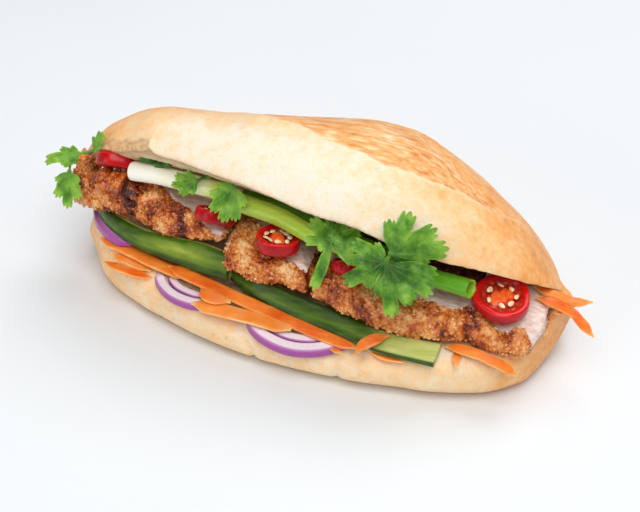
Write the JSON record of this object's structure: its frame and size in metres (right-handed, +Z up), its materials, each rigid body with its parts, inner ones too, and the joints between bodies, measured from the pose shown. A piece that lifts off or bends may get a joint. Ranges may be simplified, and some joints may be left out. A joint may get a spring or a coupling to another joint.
{
  "type": "banh mi sandwich",
  "caption": "Split crusty roll folded open over crumbed cutlet, cucumber, spring onion, carrot shreds, red onion, chilli rings and coriander leaves.",
  "frame": {"origin": "middle of the flat patch under the roll, on the surface that it stands on", "axes": "+X along the roll, -Y towards the open side with the fillings, +Z up"},
  "size_m": [0.2261, 0.0977, 0.0881],
  "materials": {
    "bread_crust": "baked crust, dry",
    "fried_crumb": "fried crumb, rough",
    "cucumber": "wet skin",
    "carrot": "moist cut flesh",
    "red_onion": "moist cut layers",
    "chilli": "glossy skin",
    "spring_onion": "waxy leaf",
    "coriander": "soft leaf"
  },
  "bodies": {
    "root": {"carrot_01": "carrot", "carrot_02": "carrot", "carrot_03": "carrot", "carrot_04": "carrot", "carrot_05": "carrot", "carrot_06": "carrot", "carrot_07": "carrot", "carrot_08": "carrot", "carrot_09": "carrot", "carrot_10": "carrot", "carrot_11": "carrot", "carrot_12": "carrot", "carrot_13": "carrot", "carrot_14": "carrot", "carrot_15": "carrot", "carrot_16": "carrot", "carrot_17": "carrot", "chilli_end": "chilli", "chilli_half": "chilli", "chilli_left": "chilli", "chilli_middle": "chilli", "chilli_right": "chilli", "coriander_end_arm": "coriander", "coriander_end_down": "coriander", "coriander_end_up": "coriander", "coriander_left": "coriander", "coriander_right": "coriander", "coriander_small": "coriander", "coriander_sprig": "coriander", "coriander_under_lip": "coriander", "cucumber_left": "cucumber", "cucumber_right": "cucumber", "cutlet_left": "fried_crumb", "cutlet_middle": "fried_crumb", "cutlet_right": "fried_crumb", "onion_left": "red_onion", "onion_middle": "red_onion", "onion_middle_core": "red_onion", "onion_right": "red_onion", "onion_right_core": "red_onion", "roll": "bread_crust", "spring_onion": "spring_onion", "spring_onion_leaf": "spring_onion"}
  },
  "joints": []
}
